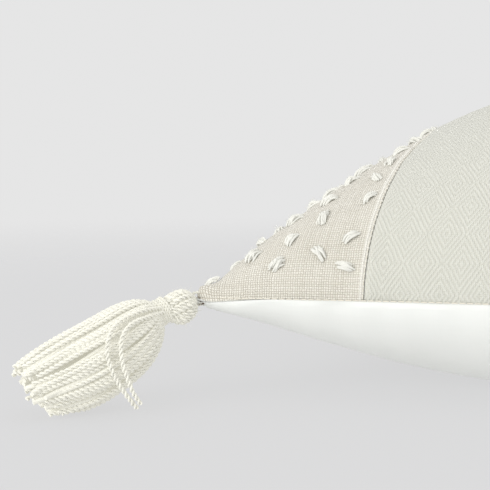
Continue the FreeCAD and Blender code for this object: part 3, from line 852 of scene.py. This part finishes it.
def sunk_form(name, depth, material, step):
    """A closed form that follows both sides of the cover at a depth inside it."""
    places = spread(-1, 1, 2 * FLAT_HALF, step, ())
    a, b = np.meshgrid(places, places, indexing="ij")
    count = len(places)
    index = np.arange(count * count).reshape(count, count)
    shrink = 1 - 2.5 * depth / FLAT_HALF
    sunk = []
    for side in (FRONT, BACKSIDE):
        point, _, _, out = side.frame_at(a * shrink, b * shrink)
        sunk.append(point - out * depth)
    middle = (sunk[0] + sunk[1]) / 2
    opened = np.sqrt(np.clip(from_seam(a, b) / OPENING_REACH, 0, 1))[..., None]
    points = []
    faces = []
    quads = grid_quads(index)
    for order, surface in enumerate(sunk):
        points.append((middle + (surface - middle) * opened).reshape(-1, 3))
        faces.append((quads[:, ::-1] if order else quads) + order * count * count)
    thing = mesh_object(name, np.concatenate(points), np.concatenate(faces).tolist(), material)
    weld(thing)
    add_cloth_axes(thing, vertex_places(thing.data)[:, :2])
    return thing


def weld(thing):
    """Joins points that lie in one place."""
    work = bmesh.new()
    work.from_mesh(thing.data)
    bmesh.ops.remove_doubles(work, verts=work.verts, dist=1e-6)
    work.to_mesh(thing.data)
    work.free()


def build_insert():
    for name, depth, material, step, slot, nodes in (
            ("insert_lining", 3.0 * MM, LINING, 7 * MM, "insert_cloth",
             ("insert_cover_top", "insert_cover_bottom")),
            ("insert_filling", 6.0 * MM, FILLING, 9 * MM, "filling", ("insert_fill",))):
        piece = place(sunk_form(name, depth, material, step), "pillow", slot, *nodes)


# ---------------------------------------------------------------- yarn work
YARN_TREE = plied_yarn_tree()
FIBRE_TREE = loose_fibre_tree()
STITCH_TREE = along_seam_tree()


def yarns(name, strands, radius, pitch, material, radii=None, step=0.75 * MM, plies=2, sides=5):
    """A piece of yarn along each strand of points, with the plies touching one another."""
    source = curve_object(name + "_lines", strands, radii)
    offset, share = (0.46, 0.62) if plies > 1 else (0.0, 1.0)
    return made_by(YARN_TREE, source, name, Yarn_Radius=radius, Twist_Pitch=pitch, Ring_Step=step, Plies=plies,
                   Ply_Offset=offset, Ply_Radius=share, Ply_Sides=sides, Yarn=material)


def with_fuzz(piece, density, length, radius, seed, material):
    """Adds loose fibres over a yarn piece and joins them to it."""
    copy = linked(piece.name + "_copy", piece.data.copy())
    fuzz = made_by(FIBRE_TREE, copy, piece.name + "_fibres", Fibres_Per_Area=density, Fibre_Length=length,
                   Fibre_Radius=radius, Seed=seed, Yarn=material)
    work = bmesh.new()
    work.from_mesh(piece.data)
    work.from_mesh(fuzz.data)
    for spot in work.verts:
        spot.co.z = max(spot.co.z, FIBRE_FLOOR)
    work.to_mesh(piece.data)
    work.free()
    bpy.data.objects.remove(fuzz)
    return piece


TUFT_SPREAD = 3.4 * MM                                  # how wide the yarns of a tuft lie
TUFT_RISE = 2.5 * MM
TUFT_YARN = 0.56 * MM
NO_TWIST = 60 * MM                                      # a pitch so long that a single ply looks straight


def tuft_strand(strand, length, draw):
    """One yarn of a tuft, along it, up from the cloth and across it: an arch with both ends sunk in."""
    shares = np.linspace(-1, 1, 9)
    arch = 1 - shares ** 2
    spot = (strand - (TUFT_STRANDS - 1) / 2) / TUFT_STRANDS
    along = (shares * (0.46 + 0.34 * draw[0]) + 0.16 * draw[4]) * length
    lift = (TUFT_RISE - 6 * MM * spot ** 2 + MM * draw[2]) * arch ** 0.6 - (0.35 + 0.3 * draw[5]) * MM
    sway = (TUFT_SPREAD * spot + 1.7 * MM * draw[1]) * (1 - 0.35 * draw[4] * shares)
    bend = 1.6 * MM * draw[3] * np.sin(shares * 2.4)
    return along, lift, sway + bend, 0.75 + 0.35 * arch


def build_tufts():
    """Each tuft is a short soft yarn that comes out of the cloth, lies on it and goes back in."""
    for name, side in (("left", -1), ("right", 1)):
        strands, radii = [], []
        for number, (a, b, lean, length) in enumerate(TUFTS[side]):
            point, along_a, along_b, out = cloth_point(FRONT, np.array([a]), np.array([b]), front_relief)
            lie = along_a[0] * math.cos(lean) + along_b[0] * math.sin(lean)
            sideways = np.cross(out[0], lie)
            for strand in range(TUFT_STRANDS):
                draw = [random_share(number, strand, side, k) - 0.5 for k in range(6)]
                along, lift, across, radius = tuft_strand(strand, length, draw)
                strands.append(point[0] + np.outer(along, lie) + np.outer(lift, out[0])
                               + np.outer(across, sideways))
                radii.append(radius)
        piece = yarns(f"{name}_tufts", strands, TUFT_YARN, NO_TWIST, TUFT, radii, step=1.3 * MM, plies=1)
        with_fuzz(piece, 260000, 3.0 * MM, 0.055 * MM, 11 + side, TUFT)
        place(piece, "pillow", "tuft_yarn", f"{name}_panel_tufts")


def stitches(name, lines, spacing, length, radius, node):
    row = made_by(STITCH_TREE, curve_object(name + "_line", lines), name, Stitch_Spacing=spacing,
                  Stitch_Length=length, Thread_Radius=radius, Thread=THREAD)
    place(row, "pillow", "seam_thread", node)


def build_seam_stitches():
    """Small stitches in the two panel seams and in the three closed sides of the edge seam."""
    for name, side in (("left", -1), ("right", 1)):
        b = np.linspace(-0.992, 0.992, 300)
        a = side * (panel_seam(b) + 0.5 * MM / FLAT_HALF)
        point, _, _, out = cloth_point(FRONT, a, b, front_relief)
        stitches(f"{name}_panel_seam_stitches", [point + out * 0.1 * MM], 3.2 * MM, 1.9 * MM, 0.22 * MM,
                 f"{name}_panel_seam_thread")
    shares = np.linspace(-0.985, 0.985, 200)
    inset = np.full(200, 1 - 2.4 * MM / FLAT_HALF)
    sides = ((-inset, shares), (inset, shares), (shares, -inset))
    runs = [(BACKSIDE.at(a, b) + FRONT.at(a, b)) / 2 for a, b in sides]
    stitches("edge_seam_stitches", runs, 3.5 * MM, 2.8 * MM, 0.3 * MM, "edge_seam_thread")


CORNER_STITCHES = 8


def build_corner_stitches():
    """Dark stitches that close each corner, in a row over the blunt end beside the tassel."""
    for number, corner in CORNERS.items():
        sign_a, sign_b = math.copysign(1, corner.x), math.copysign(1, corner.y)
        outward = np.array([sign_a, sign_b, 0.0]) / math.sqrt(2)
        strands = []
        for index, across in enumerate(np.linspace(-0.96, 0.96, CORNER_STITCHES)):
            back = (1.9 + 0.8 * random_share(index, number)) * MM / FLAT_HALF
            a = np.array([sign_a * (1 - back * (1 + across))])
            b = np.array([sign_b * (1 - back * (1 - across))])
            point, _, _, out = cloth_point(FRONT, a, b, front_relief)
            half = (0.5 + 0.4 * random_share(number, index)) * MM
            middle = point[0] + out[0] * 0.3 * MM
            strands.append(np.array([middle - outward * half, middle + out[0] * 0.2 * MM,
                                     middle + outward * half]))
        piece = yarns(f"corner_{number}_stitches", strands, 0.34 * MM, 2 * MM, DARK_THREAD, step=0.3 * MM)
        place(piece, "pillow", "dark_thread", f"corner_stitches_{number}")


# ---------------------------------------------------------------- tassels
# A reach is a distance from the corner along the tassel.
DROOP = math.radians(26)
HEAD_REACH = 8.0 * MM
HEAD_RADIUS = 8.6 * MM
HEAD_YARNS = 24
NECK_REACH = 16.8 * MM
NECK_RADIUS = 5.0 * MM
NECK_LIFT = 2.2 * MM                                    # the neck sits above the straight axis
SKIRT_END = 87.5 * MM
SKIRT_WIDTH = 20.0 * MM                                 # half width where it is fullest
SKIRT_OPENING = 10 * MM                                 # how quickly it opens below the neck
SKIRT_SAG = 2.6 * MM
TAPER_START = 55 * MM
TAPER_REACH = 36 * MM
TAPER = 6.0 * MM
YARN_RADIUS = 1.15 * MM
YARN_PITCH = 5.0 * MM                                   # one turn of the two plies
OUTER_YARNS = 60
MIDDLE_YARNS = 52
INNER_YARNS = 18
# The two loose yarns, in mm: along the tassel, level across it towards the near side, and up.
STRAY_ROUTES = (((18, 5, 5), (27, 12, 10), (36, 14, 12), (44, 17, 12), (50, 20, 9), (54, 21, 3),
                 (55.5, 22, -5), (55, 21.5, -14), (53.5, 21, -22), (52.5, 20, -26)),
                ((18, 6, 3), (28, 13.5, 7), (35, 17, 9), (41, 19.5, 8.5), (46, 21.5, 5), (49.5, 23, -2),
                 (51, 23.5, -10), (51.5, 23, -18), (50.5, 22, -24.5)))


class TasselFrame:
    """Local axes of one tassel: along it, level across it, and up."""

    def __init__(self, number):
        self.corner = np.array(CORNERS[number])
        heading = math.atan2(self.corner[1], self.corner[0])
        flat = np.array([math.cos(heading), math.sin(heading), 0.0])
        self.level = np.array([-flat[1], flat[0], 0.0])
        self.along = flat * math.cos(DROOP) - np.array([0, 0, 1.0]) * math.sin(DROOP)
        self.up = flat * math.sin(DROOP) + np.array([0, 0, 1.0]) * math.cos(DROOP)

    def put(self, along, level, up):
        return (self.corner + np.outer(along, self.along) + np.outer(level, self.level)
                + np.outer(up, self.up))


def skirt_outline(reach):
    """Half the width of the skirt, and how far its middle is off the straight axis, along the tassel."""
    past = np.maximum(reach - NECK_REACH, 0)
    width = np.maximum(SKIRT_WIDTH * (1 - np.exp(-past / SKIRT_OPENING)) ** 0.8, NECK_RADIUS * 0.9)
    width -= TAPER * (np.maximum(reach - TAPER_START, 0) / TAPER_REACH) ** 2
    share = past / (SKIRT_END - NECK_REACH)
    rise = NECK_LIFT * (1 - share) ** 3 + 1.2 * MM * np.exp(-past / (6 * MM))
    return width - YARN_RADIUS, rise - SKIRT_SAG * np.sin(share * math.pi)


def skirt_strands(local, seed, count, ring_low, ring_high):
    """Yarns that leave the neck all round, bow out quickly, run on side by side and rest on the floor."""
    strands = []
    draw = np.random.default_rng(seed)
    tuck = 1.5 * MM                                     # each yarn starts this far inside the neck wrap
    for index in range(count):
        ring = draw.uniform(ring_low, ring_high)
        angle = math.tau * index / count + draw.normal(0, 0.04)
        end = SKIRT_END + draw.normal(0, 1.6) * MM - 3 * MM * (ring < 0.5) + 3.5 * MM * min(math.sin(angle), 0)
        share = np.linspace(0, 1, 34)
        reach = NECK_REACH - tuck + share * (end - NECK_REACH + tuck)
        width, middle = skirt_outline(reach)
        out = width * ring * (1 + draw.normal(0, 0.01))
        waver = draw.uniform(0, 6.28, 4)
        wander = draw.uniform(0.3, 1.0) * MM * share
        curl = draw.normal(0, 1.8) * MM * np.clip((share - 0.86) / 0.14, 0, 1) ** 2
        turn = angle + draw.normal(0, 0.17) * share
        level = out * np.cos(turn) + wander * np.sin(share * 6 + waver[0]) + curl
        up = middle + out * np.sin(turn) + wander * np.sin(share * 5.1 + waver[1])
        spots = local.put(reach, level, up)
        lowest = 1.15 * YARN_RADIUS + 0.5 * MM * (1 + np.sin(share * 9 + waver[2])) * share
        spots[:, 2] = np.maximum(spots[:, 2], lowest)
        strands.append(spots)
    return strands


def smooth_route(points, count):
    """A curve through a few points, as a Catmull-Rom spline."""
    points = np.array(points, float)
    padded = np.vstack([2 * points[0] - points[1], points, 2 * points[-1] - points[-2]])
    run = np.linspace(0, len(points) - 1 - 1e-9, count)
    cell = run.astype(int)
    return sum(weight[:, None] * padded[cell + k] for k, weight in enumerate(spline_weights(run - cell)))


def stray_strands(local):
    """Two yarns that have come loose: they leave the neck with the others, then drop across to the floor."""
    strands = []
    for route in STRAY_ROUTES:
        spots = local.put(*smooth_route(route, 40).T * MM)
        spots[:, 2] = np.maximum(spots[:, 2], YARN_RADIUS)
        strands.append(spots)
    return strands


def head_strands(local, seed):
    """Yarns that run over the ball from the loop to the neck."""
    draw = np.random.default_rng(seed)
    strands = []
    for index in range(HEAD_YARNS):
        turn = math.tau * index / HEAD_YARNS + draw.normal(0, 0.05)
        polar = np.linspace(0.16, math.pi - 0.62, 20)
        radius = (HEAD_RADIUS - YARN_RADIUS * 0.9) * (1 + draw.normal(0, 0.025))
        bulge = 1 + 0.04 * np.sin(polar * 3 + draw.uniform(0, 6))
        twist = turn + 0.22 * np.sin(polar) + draw.normal(0, 0.03)
        along = HEAD_REACH - radius * np.cos(polar)
        out = radius * np.sin(polar) * bulge
        lift = NECK_LIFT * np.clip((along - HEAD_REACH) / (NECK_REACH - HEAD_REACH), 0, 1) ** 2 - 0.6 * MM
        strands.append(local.put(along, out * np.cos(twist), lift + out * np.sin(twist)))
    return strands


def neck_coil(local, radius, turns, width):
    """One yarn wound round the neck."""
    share = np.linspace(0, 1, int(28 * turns))
    angle = share * turns * math.tau
    around = radius * (1 + 0.03 * np.sin(angle * 0.37))
    along = NECK_REACH + (share - 0.5) * width
    return local.put(along, around * np.cos(angle), NECK_LIFT + around * np.sin(angle))


def build_tassel(number):
    local = TasselFrame(number)
    name = f"tassel_{number}"

    def yarn_piece(part, strands, radius, pitch, *nodes, fuzz=None, **options):
        piece = yarns(f"{name}_{part}", strands, radius, pitch, TASSEL, **options)
        if fuzz:
            with_fuzz(piece, *fuzz, TASSEL)
        place(piece, name, "tassel_yarn", *nodes)

    strands = skirt_strands(local, 40 + number, OUTER_YARNS, 0.94, 1.0)
    if number == 1:
        strands += stray_strands(local)
    yarn_piece("skirt_yarns", strands, YARN_RADIUS, YARN_PITCH, name + "_skirt",
               fuzz=(26000, 2.6 * MM, 0.04 * MM, number), step=0.85 * MM)
    strands = (skirt_strands(local, 50 + number, MIDDLE_YARNS, 0.84, 0.92)
               + skirt_strands(local, 55 + number, INNER_YARNS, 0.2, 0.6))
    yarn_piece("inner_yarns", strands, YARN_RADIUS, NO_TWIST, step=2.2 * MM, plies=1, sides=6)
    yarn_piece("head_yarns", head_strands(local, 60 + number), YARN_RADIUS * 1.1, YARN_PITCH, name + "_head",
               fuzz=(130000, 4.5 * MM, 0.04 * MM, 20 + number))

    core_reach = np.linspace(HEAD_REACH - HEAD_RADIUS * 0.8, NECK_REACH + 3 * MM, 8)
    core = [local.put(core_reach, np.zeros(8), np.linspace(0, NECK_LIFT, 8))]
    core_radii = [np.array([4.5, 6.3, 6.6, 6.4, 5.6, 4.2, 3.6, 3.2])]
    yarn_piece("head_core", core, 1.0 * MM, 30 * MM, radii=core_radii, step=1.2 * MM, plies=3, sides=10)
    yarn_piece("neck_yarn", [neck_coil(local, NECK_RADIUS + 0.9 * MM, 4.3, 5.2 * MM)], 0.8 * MM, 3.2 * MM,
               name + "_neck_wrap")
    angle = np.linspace(0, math.tau, 28)
    loop = 2.0 * MM                                     # radius of the yarn loop that hangs on the bar
    eye = [local.put(loop * 1.3 * np.cos(angle) - 1.2 * MM, np.zeros(28), loop * np.sin(angle))]
    yarn_piece("loop_yarn", eye, 0.8 * MM, 3.2 * MM, name + "_loop", step=0.4 * MM)

    bars = [local.put(np.full(4, 0.25 * k * MM), np.linspace(-2.4, 2.4, 4) * MM, np.full(4, 0.3 * k * MM))
            for k in (-1, 0, 1)]
    bar = yarns(name + "_thread_bar_stitches", bars, 0.3 * MM, 2 * MM, DARK_THREAD, step=0.3 * MM)
    place(bar, name + "_anchor", "dark_thread", name + "_thread_bar")


# ---------------------------------------------------------------- zip and label
TOOTH_SPACING = 1.5 * MM
TOOTH_DEPTH = 2.6 * MM                                  # the coil runs this far inside the edge's arc
COIL_GAP = 0.6 * MM                                     # half the gap between the two coils


def zip_tooth():
    """One turn of a nylon coil, a bent rod with a round head: along the edge, out of it, and up."""
    share = np.linspace(0, 1, 9)
    angle = share * math.pi
    return np.stack([0.25 * np.cos(angle), 0.65 * np.sin(angle) - 0.1, 1.5 * share], -1) * MM


def build_zip():
    angle = math.asin((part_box("zip_coil_front")[1].x - 0.4 * MM) / ARC_RADIUS)
    reach = ARC_RADIUS + TOOTH_DEPTH
    centre = np.array([0, HALF - SIDE_PULL + ARC_RADIUS, SEAM_HEIGHT])
    count = int(2 * angle * reach / TOOTH_SPACING)
    along, out, up = zip_tooth().T
    for name, sign, stagger in (("front", 1, 0.25), ("back", -1, 0.75)):
        strands = []
        for index in range(count):
            turn = -angle + 2 * angle * (index + stagger) / count
            outward = np.array([-math.sin(turn), math.cos(turn), 0.0])
            tangent = np.array([math.cos(turn), math.sin(turn), 0.0])
            strands.append(centre - outward * reach + np.outer(along, tangent) + np.outer(out, outward)
                           + np.outer(sign * (COIL_GAP + up), [0, 0, 1.0]))
        teeth = yarns(f"zip_{name}_teeth", strands, 0.36 * MM, 50 * MM, NYLON, step=0.5 * MM, plies=1, sides=6)
        place(teeth, "pillow", "zip_coil", f"zip_coil_{name}")
    for material, nodes in ((ENAMEL, ("zip_slider", "zip_pull", "zip_top_stop", "zip_bottom_stop")),
                            (TAPE, ("zip_tape_front", "zip_tape_back"))):
        for node in nodes:
            materials = frame["nodes"][node].data.materials
            materials.clear()
            materials.append(material)


def build_label():
    """Blank folded label: two plies with a round fold at the free end, drooping a little."""
    low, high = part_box("care_label")
    share = np.linspace(0, 1, 14)
    reach = low.x - 1.5 * MM + (high.x - low.x) * share
    sag = -5.0 * MM * share ** 1.6
    gap = 0.5 * MM * np.sqrt(np.maximum(1 - share ** 4, 0)) + 0.05 * MM
    middle = (low.z + high.z) / 2
    upper = np.stack([reach, middle + sag + gap], -1)
    lower = np.stack([reach, middle + sag - gap], -1)[::-1]
    outline = np.concatenate([upper, lower])
    widths = np.linspace(low.y, high.y, 12)
    curl = 0.8 * MM * np.cos(np.linspace(-2.2, 2.2, 12))
    points = [(x, y, z + lift) for y, lift in zip(widths, curl) for x, z in outline]
    ring = len(outline)
    faces = []
    for row in range(len(widths) - 1):
        for k in range(ring):
            after = (k + 1) % ring
            faces.append((row * ring + k, row * ring + after, (row + 1) * ring + after, (row + 1) * ring + k))
    faces.append(tuple(range(ring))[::-1])
    faces.append(tuple(range((len(widths) - 1) * ring, len(widths) * ring)))
    label = mesh_object("blank_label", points, faces, LABEL)
    add_cloth_axes(label, vertex_places(label.data)[:, :2])
    place(label, "pillow", "label_cloth", "care_label")


# ---------------------------------------------------------------- studio
CAMERA_AZIMUTH = math.radians(23.2)
CAMERA_ELEVATION = math.radians(6.9)
CAMERA_REACH = 0.568
CAMERA_LENS = 86.8
AIM_RIGHT = 25.0 * MM
AIM_UP = 25.5 * MM
SURROUND = (0.79, 0.79, 0.79, 1)
SURROUND_LIGHT = 1.25                                   # the surround lights the pillow more than it shows


def build_camera():
    """Close view of the near left corner, level with the seam and a little above it."""
    level = Vector((math.sin(CAMERA_AZIMUTH), -math.cos(CAMERA_AZIMUTH), 0))
    towards = level * math.cos(CAMERA_ELEVATION) + Vector((0, 0, math.sin(CAMERA_ELEVATION)))
    right = Vector((-level.y, level.x, 0))
    camera = linked("camera", bpy.data.cameras.new("camera"))
    camera.data.lens = CAMERA_LENS
    camera.data.sensor_width = 36
    camera.data.clip_start = 0.02
    stand = CORNERS[1] + towards * CAMERA_REACH
    aim = CORNERS[1] + right * AIM_RIGHT + towards.cross(right) * AIM_UP
    turn = (aim - stand).to_track_quat("-Z", "Y").to_matrix().to_4x4()
    camera.matrix_world = Matrix.Translation(stand) @ turn
    bpy.context.scene.camera = camera


def soft_light(name, place_at, size, power):
    lamp = linked(name, bpy.data.lights.new(name, "AREA"))
    lamp.data.shape = "DISK"
    lamp.data.size = size
    lamp.data.energy = power
    lamp.location = place_at
    lamp.rotation_euler = (-Vector(place_at)).to_track_quat("-Z", "Y").to_euler()


def build_studio():
    reach, depth = 4.0, -0.0002
    turns = np.arange(64) * math.tau / 64
    ring = np.column_stack([reach * np.cos(turns), reach * np.sin(turns), np.full(64, depth)])
    mesh_object("studio_floor", ring, [tuple(range(64))], floor_finish(), smooth=False)
    world = bpy.data.worlds.new("studio")
    world.use_nodes = True
    nodes, links = world.node_tree.nodes, world.node_tree.links
    nodes["Background"].inputs[0].default_value = SURROUND
    strength = nodes.new("ShaderNodeMapRange")
    strength.inputs["To Min"].default_value = SURROUND_LIGHT
    strength.inputs["To Max"].default_value = 1.0
    links.new(nodes.new("ShaderNodeLightPath").outputs["Is Camera Ray"], strength.inputs["Value"])
    links.new(strength.outputs[0], nodes["Background"].inputs[1])
    bpy.context.scene.world = world
    soft_light("key_light", (-0.8, -2.1, 0.6), 1.6, 32)
    soft_light("top_light", (0.2, 0.4, 2.3), 2.0, 2)
    bpy.context.scene.view_settings.view_transform = "Standard"


build_cover()
build_insert()
build_tufts()
build_seam_stitches()
build_corner_stitches()
for tassel_number in CORNERS:
    build_tassel(tassel_number)
build_zip()
build_label()
build_camera()
build_studio()
